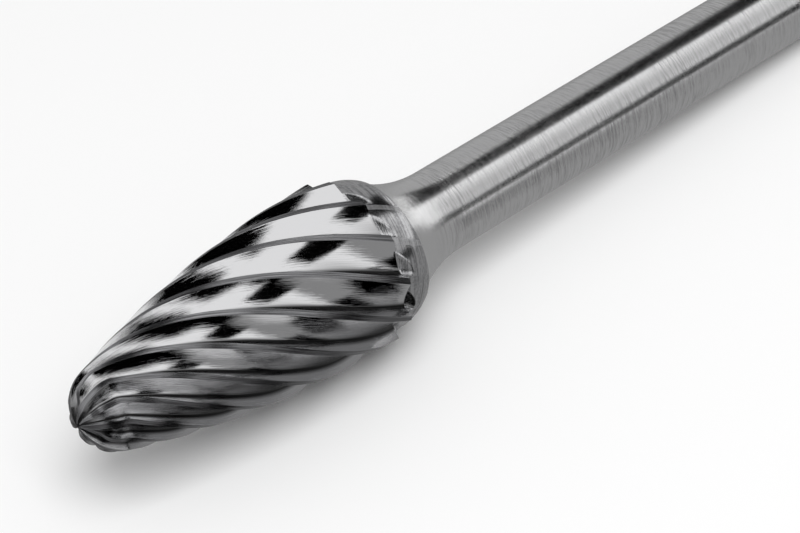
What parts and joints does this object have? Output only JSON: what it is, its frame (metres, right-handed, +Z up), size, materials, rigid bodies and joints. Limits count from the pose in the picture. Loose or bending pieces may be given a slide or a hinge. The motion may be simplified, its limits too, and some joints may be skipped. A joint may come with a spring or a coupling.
{
  "type": "carbide burr",
  "caption": "Tree-shaped rotary burr with a rounded nose and right-hand helical teeth on a plain round shank.",
  "frame": {"origin": "under the middle of the burr, on the surface it lies on", "axes": "+Z up; +X along the burr from its nose to the free end of its shank; +Y across it"},
  "size_m": [0.07, 0.012, 0.012],
  "materials": {
    "carbide": "ground tungsten carbide, mirror-like in the flutes and satin on the lands",
    "shank_steel": "cylindrically ground, fine rings round the axis"
  },
  "bodies": {
    "root": {"cutting_head": "carbide", "shank": "shank_steel"}
  },
  "joints": []
}
